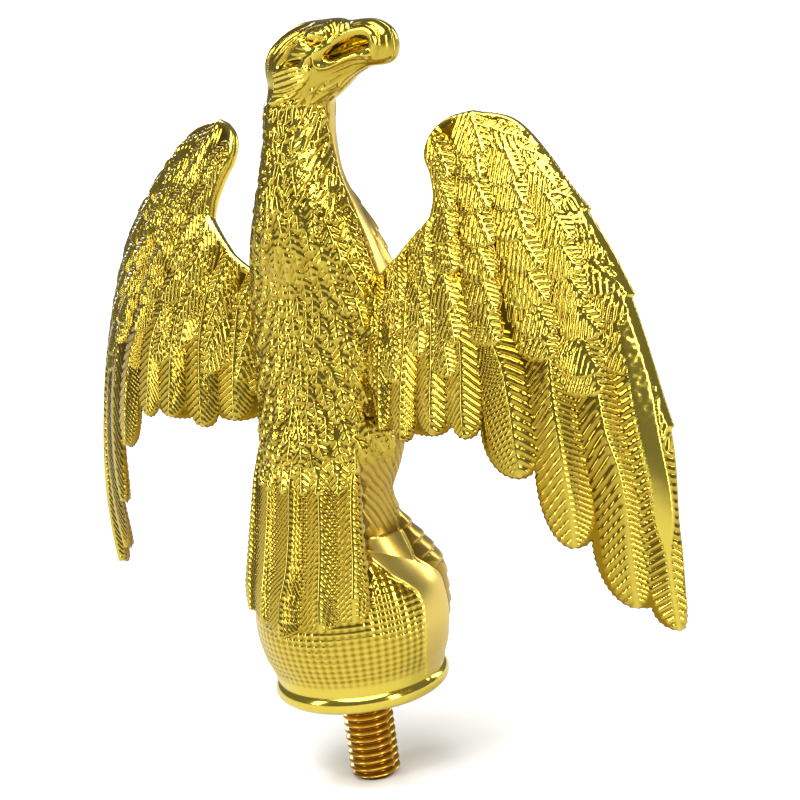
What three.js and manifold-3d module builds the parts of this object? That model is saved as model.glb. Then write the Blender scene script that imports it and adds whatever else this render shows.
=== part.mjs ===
// A gold-plated eagle finial for the top of a flag pole: a two-part body moulding with two plugged-in
// wings, on a flanged base plug that carries a half-inch threaded stud.
// Millimetres, +Z up. The origin is the centre of the seat, where the stud leaves the underside.
// The eagle faces -Y, its wings reach along X, and its head is turned to look along -X.
import * as THREE from "three";
import { LoftGeometry } from "three/addons/geometries/LoftGeometry.js";
import { mergeVertices } from "three/addons/utils/BufferGeometryUtils.js";
import Module from "manifold-3d";

// Driving dimensions
const figureHeight = 165.5; // seat to the crown of the head
const wingReach = 93; // middle of the body to the furthest point of a wing, at the figure height above
const wall = 2.4; // wall of the moulded body
const clearance = 0.3; // gap left wherever two pieces meet
const threadDiameter = 12.7; // half-inch stud
const threadPitch = 25.4 / 13; // thirteen threads to the inch
const studDrop = 24; // length of stud below the seat
const ringRadius = 21.9; // outside of the polished seat ring
const ringTube = 2.5; // radius of the ring's round edge
const dowelRadius = 1.5; // pins that locate the two body halves and the wings
const wingThickness = 2.2; // plate of the wing away from its rolled front edge
const toeRadius = 2.4; // toes that grip the front of the ball

// Sizes that follow from them. The stations and outlines below are drawn at one height and reach.
const drawnHeight = 165.5;
const drawnReach = 93;
const figure = figureHeight / drawnHeight;
const span = wingReach / drawnReach;
const partingSlope = 0.036; // the parting plane leans forward as it rises
const plugRadius = ringRadius - 7;
const plugBore = threadDiameter / 2 + clearance;
const flangeRadius = plugRadius + 2;
const ledgeHeight = 7;
const flangeThickness = 3;
const washerRadius = threadDiameter * 1.02;
const washerThickness = 2;
const nutHeight = threadDiameter * 0.87;
const nutAcrossFlats = threadDiameter * 1.5;

const wasm = await Module();
wasm.setup();

// A closed three.js geometry as a solid for joining and cutting.
function solid(geometry) {
  const bare = new THREE.BufferGeometry();
  bare.setAttribute("position", geometry.attributes.position);
  bare.setIndex(geometry.index);
  const merged = mergeVertices(bare, 1e-4);
  return new wasm.Manifold(
    new wasm.Mesh({
      numProp: 3,
      vertProperties: merged.attributes.position.array,
      triVerts: new Uint32Array(merged.index.array),
    }),
  );
}

// A solid back as a geometry that a mesh can show.
function geometryOf(body) {
  const { vertProperties, triVerts } = body.getMesh();
  const geometry = new THREE.BufferGeometry();
  geometry.setAttribute("position", new THREE.BufferAttribute(vertProperties, 3));
  geometry.setIndex(new THREE.BufferAttribute(triVerts, 1));
  geometry.computeVertexNormals();
  return geometry;
}

function union(bodies) {
  return bodies.reduce((sum, body) => sum.add(body));
}

function box(width, depth, height, x, y, z) {
  return new THREE.BoxGeometry(width, depth, height).translate(x, y, z);
}

// A round bar lying along Y between two depths.
function barAlongY(radius, x, z, fromY, toY) {
  const bar = new THREE.CylinderGeometry(radius, radius, toY - fromY, 12);
  return solid(bar.translate(x, (fromY + toY) / 2, z));
}

function partingY(z) {
  return -partingSlope * z;
}

// ---- Body, neck and legs -------------------------------------------------------------------

// A level oval section. It reaches front towards -Y and rear towards +Y of its own centre.
function ovalSection({ z, x = 0, y, width, front, rear }, grow, count) {
  return Array.from({ length: count }, (_, i) => {
    const angle = (2 * Math.PI * i) / count;
    const depth = Math.sin(angle) > 0 ? rear : front;
    return new THREE.Vector3(
      figure * x + (figure * width + grow) * Math.cos(angle),
      figure * y + (figure * depth + grow) * Math.sin(angle),
      figure * z,
    );
  });
}

function ovalLoft(stations, grow, count) {
  const sections = stations.map((station) => ovalSection(station, grow, count));
  return solid(new LoftGeometry(sections, { capStart: true, capEnd: true }));
}

const torsoStations = [
  { z: 34, y: 3, width: 11, front: 7, rear: 14 },
  { z: 46, y: 3.5, width: 10, front: 6, rear: 13 },
  { z: 55, y: 3, width: 14.8, front: 8, rear: 13 },
  { z: 64, y: 1, width: 17.8, front: 12, rear: 14.5 },
  { z: 74, y: -1, width: 18.8, front: 15.5, rear: 13.5 },
  { z: 84, y: -2, width: 19.6, front: 18, rear: 12.5 },
  { z: 94, y: -3, width: 19.6, front: 19, rear: 12 },
  { z: 104, y: -3.5, width: 18.6, front: 19, rear: 11.5 },
  { z: 113, y: -3.5, width: 16.2, front: 16, rear: 12.5 },
  { z: 121, y: -3, width: 13.4, front: 12.5, rear: 11.5 },
  { z: 129, y: -3.2, width: 10.4, front: 9.6, rear: 10 },
  { z: 138, y: -4.8, width: 8.8, front: 8.4, rear: 9 },
  { z: 147, y: -6.5, width: 8.6, front: 8, rear: 8.2 },
  { z: 154, y: -6.5, width: 6.5, front: 6, rear: 6 },
];
const legStations = [
  { z: 70, x: 9, y: -4, width: 8, front: 8, rear: 8 },
  { z: 62, x: 9, y: -2.5, width: 7, front: 7, rear: 7 },
  { z: 56, x: 8.8, y: -0.8, width: 5.6, front: 5.4, rear: 6 },
  { z: 50, x: 8.6, y: 0, width: 5, front: 4.8, rear: 5.5 },
  { z: 44, x: 8.8, y: -2, width: 5, front: 4.6, rear: 6 },
  { z: 39, x: 9.2, y: -5, width: 6, front: 5.5, rear: 7 },
  { z: 33, x: 9.5, y: -8, width: 6.5, front: 6.5, rear: 7 },
].reverse();

function leg(side) {
  const stations = legStations.map((station) => ({ ...station, x: side * station.x }));
  return ovalLoft(stations, 0, 14);
}

// ---- Tail ----------------------------------------------------------------------------------

// The tail is a curved fan: each station is its half width, the depth of its edge and of its middle.
const tailThickness = 4;
const tailStations = [
  { z: 22.5, width: 15, edge: 18.5, middle: 25.4 },
  { z: 25, width: 19, edge: 17.6, middle: 25.2 },
  { z: 31, width: 19.2, edge: 17, middle: 23.8 },
  { z: 39, width: 18, edge: 15.6, middle: 20.6 },
  { z: 48, width: 17.4, edge: 13.4, middle: 18.4 },
  { z: 57, width: 16.8, edge: 11, middle: 16.6 },
  { z: 68, width: 15, edge: 7.5, middle: 13 },
];

function tailSection({ z, width, edge, middle }) {
  const count = 9;
  const arc = (depth) =>
    Array.from({ length: count }, (_, i) => {
      const across = 1 - (2 * i) / (count - 1);
      const y = edge + (middle - edge) * Math.cos((across * Math.PI) / 2) - depth;
      return new THREE.Vector3(figure * width * across, figure * y, figure * z);
    });
  return [...arc(0), ...arc(tailThickness).reverse()];
}

function tail() {
  return solid(new LoftGeometry(tailStations.map(tailSection), { capStart: true, capEnd: true }));
}

// ---- Ball and seat ring --------------------------------------------------------------------

const ballProfile = [
  [21.4, 7.2],
  [23.2, 11.5],
  [24.3, 17],
  [24.4, 21],
  [23.8, 26],
  [22.3, 30.5],
  [19.4, 35],
  [15, 39],
  [8.5, 42.2],
  [0, 43.6],
];

function ringPoints() {
  const centre = ringRadius - ringTube;
  return [-90, -60, -30, 0, 30, 55].map((degrees) => {
    const angle = THREE.MathUtils.degToRad(degrees);
    return [centre + ringTube * Math.cos(angle), ringTube + ringTube * Math.sin(angle)];
  });
}

function turned(points, count = 32) {
  const profile = points.map(([radius, z]) => new THREE.Vector2(radius, z));
  return new THREE.LatheGeometry(profile, count).rotateX(Math.PI / 2);
}

function ballAndRing(inset) {
  const ball = ballProfile.map(([radius, z]) => [
    figure * Math.max(0, radius - inset),
    figure * (z - inset / 2),
  ]);
  return solid(turned([[0, 0], ...ringPoints(), ...ball]));
}

function ballCavity() {
  const ball = ballProfile
    .slice(0, -1)
    .map(([radius, z]) => [figure * radius - wall, figure * z - wall / 3]);
  ball[0][1] = ledgeHeight;
  const top = figure * ballProfile.at(-1)[1] - wall;
  return solid(turned([[0, ledgeHeight], ...ball, [0, top]]));
}

// ---- Toes ----------------------------------------------------------------------------------

// Each toe wraps the ball from the foot at the top down its front, at its own bearing.
const frontInset = 1.2; // the front of the ball is lower, so that the toes stand up from it
const toePath = 22; // from the middle of the ball to the middle of a toe
const toeBearings = [8, 26, 44];
const toePitches = [58, 45, 32, 18, 4, -10];

function toe(side, bearing) {
  const count = 8;
  const centre = new THREE.Vector3(0, 0, figure * 19.5);
  const heading = THREE.MathUtils.degToRad(bearing);
  const sideways = new THREE.Vector3(side * Math.cos(heading), Math.sin(heading), 0);
  const sections = toePitches.map((pitch, k) => {
    const climb = THREE.MathUtils.degToRad(pitch);
    const spread = heading * (1 - 0.35 * (climb > 0 ? climb : 0));
    const out = new THREE.Vector3(
      side * Math.sin(spread) * Math.cos(climb),
      -Math.cos(spread) * Math.cos(climb),
      Math.sin(climb),
    );
    const radius = toeRadius * (k === toePitches.length - 1 ? 0.45 : 1 - 0.06 * k);
    const middle = out.clone().multiplyScalar(figure * toePath).add(centre);
    return Array.from({ length: count }, (_, i) => {
      const angle = (-side * 2 * Math.PI * i) / count;
      return middle
        .clone()
        .addScaledVector(sideways, -radius * Math.cos(angle))
        .addScaledVector(out, radius * Math.sin(angle));
    });
  });
  return solid(new LoftGeometry(sections, { capStart: true, capEnd: true }));
}

// ---- Head ----------------------------------------------------------------------------------

// Sections across the head from the nape (+X) to the tip of the beak (-X).
const headCentreY = -6;
const headStations = [
  { x: 5.6, low: 151, high: 157, width: 3 },
  { x: 4, low: 145, high: 160, width: 5.4 },
  { x: 0, low: 142, high: 163, width: 7.4 },
  { x: -5, low: 142, high: 165, width: 8 },
  { x: -11, low: 145, high: 165.5, width: 7.6 },
  { x: -15, low: 149.5, high: 165.5, width: 6.6 },
  { x: -18, low: 151.8, high: 164.8, width: 5.2 },
  { x: -23, low: 153.8, high: 165, width: 4.4 },
  { x: -26.5, low: 154, high: 164.6, width: 4 },
  { x: -29.5, low: 155, high: 162.8, width: 3.2 },
  { x: -31, low: 157, high: 161, width: 1.6 },
];

function headSection({ x, low, high, width }) {
  const count = 16;
  return Array.from({ length: count }, (_, i) => {
    const angle = (2 * Math.PI * i) / count;
    const y = headCentreY + width * Math.cos(angle);
    const z = (low + high) / 2 - ((high - low) / 2) * Math.sin(angle);
    return new THREE.Vector3(figure * x, figure * y, figure * z);
  });
}

function head() {
  return solid(new LoftGeometry(headStations.map(headSection), { capStart: true, capEnd: true }));
}

// ---- Wings ---------------------------------------------------------------------------------

// How far back the wing's outer face lies at a place on the wing: it cups forward towards its top
// and its tip.
function wingY(x, z) {
  const across = x / 50;
  const up = (z - 80) / 50;
  const curl = Math.max(0, x - 72) / 20;
  const bowl = 47 * across - 28.6 * across * across - 7.6 * up - 12.1 * up * up;
  const wristRise = 4 * Math.exp(-((x - 30) ** 2 + (z - 136) ** 2) / 128);
  return -8.9 + bowl - 4.9 * across * up - (2.6 + 7.6 * up) * curl * curl + wristRise;
}

// A point at a depth under the outer face, measured square to the face.
function onWing(side, x, z, depth) {
  const step = 0.5;
  const slopeX = (wingY(x + step, z) - wingY(x - step, z)) / (2 * step);
  const slopeZ = (wingY(x, z + step) - wingY(x, z - step)) / (2 * step);
  const y = wingY(x, z) - depth * Math.hypot(1, slopeX, slopeZ);
  return new THREE.Vector3(side * figure * span * x, figure * y, figure * z);
}

// Front edge of the wing, as the point that faces each gap between two feathers of the back edge.
const frontEdge = [
  [13, 101],
  [25.3, 109.9],
  [34.3, 119],
  [40, 141.3],
  [52, 137.8],
  [65.2, 125],
  [79, 104],
  [89.4, 69.5],
  [91.6, 42],
];
// Back edge: the gaps between feathers, and the tip of the feather that follows each gap.
const featherGaps = [
  [13, 76],
  [27.3, 71.5],
  [34.7, 71],
  [46.3, 73.8],
  [53.4, 72.7],
  [65.2, 62.8],
  [75, 45],
  [84.2, 26.8],
  [91.4, 26],
];
const featherTips = [
  [23, 69.6],
  [31, 68.3],
  [41, 70.6],
  [50, 70.2],
  [62.3, 60.7],
  [71.6, 43.2],
  [81.6, 26.9],
  [89.2, 20.6],
];
// The front edge swings in towards the head round the wrist, above its third stretch.
const wristFeather = 2;
const outerStretches = featherTips.length - wristFeather - 1;
const wristBow = new THREE.Vector2(3, 21); // how far the ribs round the wrist bow out of a straight line
const wristEdge = [
  [34.3, 119],
  [34.4, 123],
  [32.6, 128],
  [30.4, 131.4],
  [30.1, 134.8],
  [31.4, 138],
  [34.8, 140.3],
  [40, 141.3],
];

// A quarter of an oval from one point to another, leaving the first along the feather.
function quarter(from, to, along, part) {
  const step = new THREE.Vector2(to[0] - from[0], to[1] - from[1]);
  const down = along.clone().multiplyScalar(step.dot(along));
  const over = step.clone().sub(down);
  const angle = (part * Math.PI) / 2;
  return new THREE.Vector2(...from)
    .addScaledVector(down, Math.sin(angle))
    .addScaledVector(over, 1 - Math.cos(angle));
}

function featherEdge(i, part) {
  const tip = featherTips[i];
  const middle = [
    (frontEdge[i][0] + frontEdge[i + 1][0]) / 2,
    (frontEdge[i][1] + frontEdge[i + 1][1]) / 2,
  ];
  const along = new THREE.Vector2(tip[0] - middle[0], tip[1] - middle[1]).normalize();
  if (part < 0.5) return quarter(featherGaps[i], tip, along, 2 * part);
  return quarter(featherGaps[i + 1], tip, along, 2 - 2 * part);
}

function curveThrough(points) {
  return new THREE.SplineCurve(points.map((point) => new THREE.Vector2(...point)));
}

const wristCurve = curveThrough(wristEdge);
const outerCurve = curveThrough(frontEdge.slice(wristFeather + 1));

function leadingPoint(i, part) {
  if (i === wristFeather) return wristCurve.getPoint(part);
  if (i > wristFeather) return outerCurve.getPoint((i - wristFeather - 1 + part) / outerStretches);
  return new THREE.Vector2(...frontEdge[i]).lerp(new THREE.Vector2(...frontEdge[i + 1]), part);
}

// The section of one rib, from the rolled front edge over the outer face to the back edge and back.
const ribPoints = [
  [0.0, 0.5],
  [0.012, 0.12],
  [0.05, 0],
  [0.3, 0],
  [0.55, 0],
  [0.8, 0],
  [0.97, 0],
  [1, 0.5],
  [0.97, 1],
  [0.8, 1],
  [0.55, 1],
  [0.3, 1],
  [0.07, 1],
  [0.014, 0.88],
];

// The line of a rib over the wing. Those that start round the wrist bow up into it.
function ribLine(i, part) {
  const front = leadingPoint(i, part);
  const back = featherEdge(i, part);
  const bow = i === wristFeather ? Math.sin(Math.PI * part) : 0;
  const middle = front.clone().lerp(back, 0.5).addScaledVector(wristBow, bow);
  return new THREE.QuadraticBezierCurve(front, middle, back);
}

// The rolled front edge is thicker than the plate, and most of all towards the wrist.
const rollAtTip = 0.6;
const rollAtWrist = 2.2;

function rib(side, i, part) {
  const line = ribLine(i, part);
  const towardsWrist = THREE.MathUtils.smoothstep(line.v0.y, 60, 130);
  const frontRoll = THREE.MathUtils.lerp(rollAtTip, rollAtWrist, towardsWrist);
  const section = ribPoints.map(([chord, depth]) => {
    const place = line.getPoint(chord);
    const roll = frontRoll * Math.max(0, 1 - chord / 0.2);
    return onWing(side, place.x, place.y, depth * (wingThickness + roll));
  });
  return side > 0 ? section.reverse() : section;
}

function wingPlate(side) {
  const ribs = [];
  for (let i = 0; i < featherTips.length; i += 1) {
    const parts = i === wristFeather ? 12 : 6;
    for (let k = 0; k < parts; k += 1) ribs.push(rib(side, i, k / parts));
  }
  ribs.push(rib(side, featherTips.length - 1, 1));
  return solid(new LoftGeometry(ribs, { capStart: true, capEnd: true }));
}

// The flat tongue of a wing root, held between the two body halves.
const tongue = { inner: 7, outer: 21, low: 78, high: 100, thickness: 4 };

// The thick root that joins the tongue to the plate, on the front of the wing.
const fairing = { halfWidth: 9, halfDepth: 4.5, halfHeight: 15, back: 1 };

function rootFairing(side) {
  const middleZ = (figure * (tongue.low + tongue.high)) / 2;
  const { halfWidth, halfDepth, halfHeight, back } = fairing;
  const oval = new THREE.SphereGeometry(1, 14, 10);
  oval.scale(figure * halfWidth, halfDepth, figure * halfHeight);
  return solid(oval.translate(side * figure * tongue.outer, back + partingY(middleZ), middleZ));
}

function tongueBox(side, grow) {
  const { inner, outer, low, high, thickness } = tongue;
  const middleZ = (figure * (low + high)) / 2;
  return solid(
    box(
      figure * (outer - inner) + 2 * grow,
      thickness + 2 * grow,
      figure * (high - low) + 2 * grow,
      (side * figure * (outer + inner)) / 2,
      partingY(middleZ),
      middleZ,
    ),
  );
}

// ---- Dowels --------------------------------------------------------------------------------

const dowels = [
  { name: "neck_dowel", x: 0, z: 126 },
  { name: "hip_dowel", x: 0, z: 68 },
  { name: "left_wing_upper_dowel", x: 11, z: 95 },
  { name: "left_wing_lower_dowel", x: 11, z: 83 },
  { name: "right_wing_upper_dowel", x: -11, z: 95 },
  { name: "right_wing_lower_dowel", x: -11, z: 83 },
];
const dowelReach = 6; // how far a dowel runs into each half
const bossRadius = dowelRadius + 2;
const bossReach = 40; // further than any skin, so that a boss always meets it
const wingHoleReach = 20; // right through the wing's root

function dowelBar({ x, z }, grow, reach) {
  const middle = partingY(figure * z);
  return barAlongY(dowelRadius + grow, figure * x, figure * z, middle - reach, middle + reach);
}

function boss({ x, z }) {
  return barAlongY(bossRadius, figure * x, figure * z, -bossReach, bossReach);
}

// ---- Body halves ---------------------------------------------------------------------------

// Everything in front of the parting plane, or everything behind it.
function halfSpace(facing, gap) {
  const size = 400;
  const block = new THREE.BoxGeometry(size, size, size);
  block.translate(0, facing * (size / 2 + gap), 0);
  return solid(block.rotateX(Math.atan(partingSlope)));
}

const skin = union([
  ovalLoft(torsoStations, 0, 24),
  leg(1),
  leg(-1),
  tail(),
  ballAndRing(frontInset),
  ballAndRing(0).intersect(halfSpace(1, 0)),
  head(),
  ...[1, -1].flatMap((side) => toeBearings.map((bearing) => toe(side, bearing))),
]);
const cavity = union([ovalLoft(torsoStations.slice(0, -2), -wall, 20), ballCavity()]);
const boreRadius = plugRadius + clearance;
const boreLow = -5; // below the seat
const boreHigh = 12; // up into the hollow of the ball
const seatBore = solid(turned([[0, boreLow], [boreRadius, boreLow], [boreRadius, boreHigh], [0, boreHigh]]));
const bodyWithGap = ovalLoft(torsoStations, clearance, 24);

const bosses = union(dowels.map(boss)).intersect(skin);
const dowelHoles = union(dowels.map((dowel) => dowelBar(dowel, clearance, dowelReach + clearance)));
const body = skin
  .subtract(cavity)
  .add(bosses)
  .subtract(seatBore)
  .subtract(dowelHoles)
  .subtract(tongueBox(1, clearance))
  .subtract(tongueBox(-1, clearance));

function bodyHalf(facing) {
  return body.intersect(halfSpace(facing, clearance / 2));
}

function wing(side) {
  const holes = dowels.map((dowel) => dowelBar(dowel, clearance, wingHoleReach));
  return wingPlate(side)
    .add(rootFairing(side))
    .subtract(bodyWithGap)
    .add(tongueBox(side, 0))
    .subtract(union(holes));
}

// ---- Base plug and stud --------------------------------------------------------------------

const flangeTop = ledgeHeight + clearance + flangeThickness;
const washerBase = flangeTop + clearance;
const nutBase = washerBase + washerThickness + clearance;
const studTop = nutBase + nutHeight + 3;

function basePlug() {
  return turned([
    [plugBore, 0],
    [plugRadius, 0],
    [plugRadius, ledgeHeight + clearance],
    [flangeRadius, ledgeHeight + clearance],
    [flangeRadius, flangeTop],
    [plugBore, flangeTop],
    [plugBore, 0],
  ]);
}

function washer() {
  const top = washerBase + washerThickness;
  return turned([
    [plugBore, washerBase],
    [washerRadius, washerBase],
    [washerRadius, top],
    [plugBore, top],
    [plugBore, washerBase],
  ]);
}

function nut() {
  const hexagon = new THREE.Shape();
  const corner = nutAcrossFlats / Math.sqrt(3);
  for (let i = 0; i < 6; i += 1) {
    const angle = (i * Math.PI) / 3;
    const move = i ? "lineTo" : "moveTo";
    hexagon[move](corner * Math.cos(angle), corner * Math.sin(angle));
  }
  const hole = new THREE.Path().absarc(0, 0, plugBore, 0, 2 * Math.PI, true);
  hexagon.holes.push(hole);
  const block = new THREE.ExtrudeGeometry(hexagon, {
    depth: nutHeight,
    bevelEnabled: false,
    curveSegments: 16,
  });
  return block.translate(0, 0, nutBase);
}

// The stud's thread is a stack of ridges, one for each pitch, over the length below the seat.
function stud() {
  const crest = threadDiameter / 2;
  const shank = crest - 0.1;
  const shankLow = -0.4;
  const crestFlat = 0.12; // half the flat on each ridge
  const root = crest - 0.6 * threadPitch;
  const turns = Math.floor((studDrop - 1) / threadPitch);
  const profile = [
    [0, -studDrop],
    [root, -studDrop],
  ];
  for (let i = 0; i < turns; i += 1) {
    const z = -studDrop + threadPitch * (i + 0.5);
    profile.push([crest, z - crestFlat], [crest, z + crestFlat], [root, z + threadPitch / 2]);
  }
  profile.push([shank, shankLow], [shank, studTop - 1], [root, studTop], [0, studTop]);
  return turned(profile, 16);
}

// ---- Materials and the finished group ------------------------------------------------------

function plated(color, roughness) {
  return new THREE.MeshStandardMaterial({ color, roughness, metalness: 1 });
}

const eagle = new THREE.Group();

function place(name, geometry, material) {
  const mesh = new THREE.Mesh(geometry, material);
  mesh.name = name;
  eagle.add(mesh);
}

const gold = "#d8b21e";
const brassPlate = "#d09a2c";
place("rear_body_shell", geometryOf(bodyHalf(1)), plated(gold, 0.15));
place("front_body_shell", geometryOf(bodyHalf(-1)), plated(gold, 0.15));
place("left_wing", geometryOf(wing(1)), plated(gold, 0.15));
place("right_wing", geometryOf(wing(-1)), plated(gold, 0.15));
place("base_plug", basePlug(), plated(gold, 0.3));
place("threaded_stud", stud(), plated(brassPlate, 0.3));
place("stud_washer", washer(), plated(brassPlate, 0.35));
place("stud_nut", nut(), plated(brassPlate, 0.35));
const dowelPlastic = new THREE.MeshStandardMaterial({ color: "#e6e0cc", roughness: 0.5 });
dowels.forEach((dowel) => place(dowel.name, geometryOf(dowelBar(dowel, 0, dowelReach)), dowelPlastic));

export default eagle;
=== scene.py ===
import math

import bpy
import numpy as np
from mathutils import Matrix, Vector, geometry, kdtree, noise


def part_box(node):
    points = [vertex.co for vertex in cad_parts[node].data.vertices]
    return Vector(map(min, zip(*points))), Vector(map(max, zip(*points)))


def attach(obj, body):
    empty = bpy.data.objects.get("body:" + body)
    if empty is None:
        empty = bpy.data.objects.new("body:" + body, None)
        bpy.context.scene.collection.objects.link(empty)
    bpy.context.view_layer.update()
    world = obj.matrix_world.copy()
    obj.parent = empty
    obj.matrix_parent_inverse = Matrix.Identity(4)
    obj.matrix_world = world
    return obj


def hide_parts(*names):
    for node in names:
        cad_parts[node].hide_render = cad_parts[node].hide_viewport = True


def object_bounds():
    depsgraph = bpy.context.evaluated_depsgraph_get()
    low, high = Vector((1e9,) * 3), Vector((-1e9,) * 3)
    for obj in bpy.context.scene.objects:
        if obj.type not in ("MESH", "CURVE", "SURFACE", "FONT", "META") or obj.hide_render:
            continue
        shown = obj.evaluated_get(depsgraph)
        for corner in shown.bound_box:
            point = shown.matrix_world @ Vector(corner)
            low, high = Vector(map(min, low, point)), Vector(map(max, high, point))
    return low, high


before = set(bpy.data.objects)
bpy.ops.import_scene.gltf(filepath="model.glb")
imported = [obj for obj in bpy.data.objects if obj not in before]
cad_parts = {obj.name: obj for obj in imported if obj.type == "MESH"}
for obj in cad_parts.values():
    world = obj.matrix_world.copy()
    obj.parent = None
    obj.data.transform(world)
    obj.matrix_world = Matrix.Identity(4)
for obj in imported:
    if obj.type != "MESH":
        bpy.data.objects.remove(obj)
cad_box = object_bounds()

# ---- Camera and studio ----
# A long lens looks slightly down on the back of the right wing. The finial stands on its stud on a
# white table, under a broad overhead light and four upright boxes. The gold mirrors the boxes as
# bright strips, with the darker walls between them.
MM = 0.001
AIM_HEIGHT = 85 * MM
CAMERA_BEARING = math.radians(221.0)
CAMERA_CLIMB = math.radians(12.4)
CAMERA_DISTANCE = 560.1 * MM
CAMERA_ROLL = math.radians(-7.5)
AIM_RIGHT = 18.2 * MM
AIM_UP = -13.1 * MM
LENS_FOCAL = 103.73
FLOOR_SIDE = 60.0

away = Vector((
    math.sin(CAMERA_BEARING) * math.cos(CAMERA_CLIMB),
    -math.cos(CAMERA_BEARING) * math.cos(CAMERA_CLIMB),
    math.sin(CAMERA_CLIMB),
))
centre = Vector((0, 0, AIM_HEIGHT))
level = (-away).cross(Vector((0, 0, 1))).normalized()
stand = centre + away * CAMERA_DISTANCE
aim = centre + level * AIM_RIGHT + level.cross(-away) * AIM_UP
look = (aim - stand).normalized()
side = look.cross(Vector((0, 0, 1))).normalized()
rise = side.cross(look)
right = side * math.cos(CAMERA_ROLL) + rise * math.sin(CAMERA_ROLL)
upward = rise * math.cos(CAMERA_ROLL) - side * math.sin(CAMERA_ROLL)
camera = bpy.data.objects.new("camera", bpy.data.cameras.new("camera"))
bpy.context.scene.collection.objects.link(camera)
camera.data.lens = LENS_FOCAL
camera.data.clip_start = 0.01
camera.data.clip_end = 4 * FLOOR_SIDE
camera.rotation_mode = "QUATERNION"
camera.location = stand
camera.rotation_quaternion = Matrix((right, upward, -look)).transposed().to_quaternion()
bpy.context.scene.camera = camera
bpy.context.scene.view_settings.view_transform = "Standard"


def linear(code):
    """An sRGB hex colour as linear red, green, blue and alpha."""
    parts = [int(code[i:i + 2], 16) / 255 for i in (1, 3, 5)]
    return [p / 12.92 if p <= 0.04045 else ((p + 0.055) / 1.055) ** 2.4 for p in parts] + [1]


def softbox(name, place, towards, width, height, watts):
    """A rectangular light that faces a point."""
    lamp = bpy.data.objects.new(name, bpy.data.lights.new(name, "AREA"))
    lamp.data.shape = "RECTANGLE"
    lamp.data.size = width
    lamp.data.size_y = height
    lamp.data.energy = watts
    lamp.location = place
    lamp.rotation_mode = "QUATERNION"
    lamp.rotation_quaternion = (Vector(towards) - Vector(place)).to_track_quat("-Z", "Y")
    bpy.context.scene.collection.objects.link(lamp)


# Each box: its name, its place, what it faces, its width and height, and its watts.
softbox("overhead_box", (0.1, 0.2, 1.2), centre, 0.8, 0.8, 9)
softbox("camera_left_box", (0.55, 1.1, 0.55), centre, 0.25, 0.9, 5.5)
softbox("camera_right_box", (-1.2, 0.25, 0.35), centre, 0.25, 0.9, 6)
softbox("front_left_box", (1.1, -0.7, 0.5), centre, 0.3, 0.8, 5)
softbox("front_right_box", (-0.5, -1.2, 0.5), centre, 0.3, 0.8, 5)


def node(tree, kind, links=(), **settings):
    """Adds a node, sets what it is given, and links its inputs."""
    made = tree.nodes.new(kind)
    for name, value in settings.items():
        setattr(made, name, value)
    for socket, source in dict(links).items():
        if hasattr(source, "is_output"):
            tree.links.new(source, made.inputs[socket])
        else:
            made.inputs[socket].default_value = source
    return made


# The walls light the object dimly, and are white where the camera looks past the table.
WALL_LIGHT = 0.3
WALL_SEEN = 1.2
world = bpy.data.worlds.new("studio_walls")
world.use_nodes = True
walls = world.node_tree
background = walls.nodes["Background"]
background.inputs["Color"].default_value = linear("#E4E6EA")
ray = node(walls, "ShaderNodeLightPath")
wall_level = node(walls, "ShaderNodeMath", {
    0: ray.outputs["Is Camera Ray"], 1: WALL_SEEN - WALL_LIGHT, 2: WALL_LIGHT},
    operation="MULTIPLY_ADD")
walls.links.new(wall_level.outputs[0], background.inputs["Strength"])
bpy.context.scene.world = world

sun = bpy.data.objects.new("table_light", bpy.data.lights.new("table_light", "SUN"))
sun.data.energy = 3.0
sun.data.angle = math.radians(46)
sun.rotation_euler = (math.radians(-20), math.radians(-15), 0)
bpy.context.scene.collection.objects.link(sun)

# A matt white table top. The gold mirrors it a little darker than it is seen, as a smaller table.
bpy.ops.mesh.primitive_plane_add(size=FLOOR_SIDE, location=(0, 0, cad_box[0].z))
floor = bpy.context.object
floor.name = "white_table"
floor_paint = bpy.data.materials.new("matt_white_table")
floor_paint.use_nodes = True
floor_tree = floor_paint.node_tree
floor_skin = floor_tree.nodes["Principled BSDF"]
ray = node(floor_tree, "ShaderNodeLightPath")
floor_tone = node(floor_tree, "ShaderNodeMix", {
    "Factor": ray.outputs["Is Glossy Ray"], 6: linear("#FBFBFA"), 7: linear("#CFCFCA")},
    data_type="RGBA")
floor_tree.links.new(floor_tone.outputs[2], floor_skin.inputs["Base Color"])
floor_skin.inputs["Roughness"].default_value = 0.9
floor.data.materials.append(floor_paint)


# ---- Gold plating ----
# Moulded ABS, plated with copper, nickel and a flash of gold. The bright plate is a mirror with the
# faint orange-peel ripple of a plated moulding. The plating is thinner and more orange in the
# grooves, and the grooves are also darkened as painted shade, which is what lets the feathers read.
def gold_plating(name, crest, hollow_shade, roughness, ripple_mm, ripple_depth):
    """Plated metal that goes from its crest colour to a darker colour by the piece's own recess
    attribute; the darker colour in the grooves is painted shade.
    """
    paint = bpy.data.materials.new(name)
    paint.use_nodes = True
    tree = paint.node_tree
    metal = tree.nodes["Principled BSDF"]
    recess_shade = node(tree, "ShaderNodeAttribute", attribute_name="recess_shade")
    place = node(tree, "ShaderNodeTexCoord")
    colour = node(tree, "ShaderNodeMix", {
        "Factor": recess_shade.outputs["Fac"], 6: linear(crest), 7: linear(hollow_shade)}, data_type="RGBA")
    tree.links.new(colour.outputs[2], metal.inputs["Base Color"])
    ripple = node(tree, "ShaderNodeTexNoise", {
        "Vector": place.outputs["Object"], "Scale": 1 / (ripple_mm * MM), "Detail": 2.0})
    dent = node(tree, "ShaderNodeBump", {
        "Height": ripple.outputs["Fac"], "Strength": ripple_depth, "Distance": 0.05 * MM})
    tree.links.new(dent.outputs["Normal"], metal.inputs["Normal"])
    metal.inputs["Metallic"].default_value = 1
    metal.inputs["Roughness"].default_value = roughness
    return paint


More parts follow.
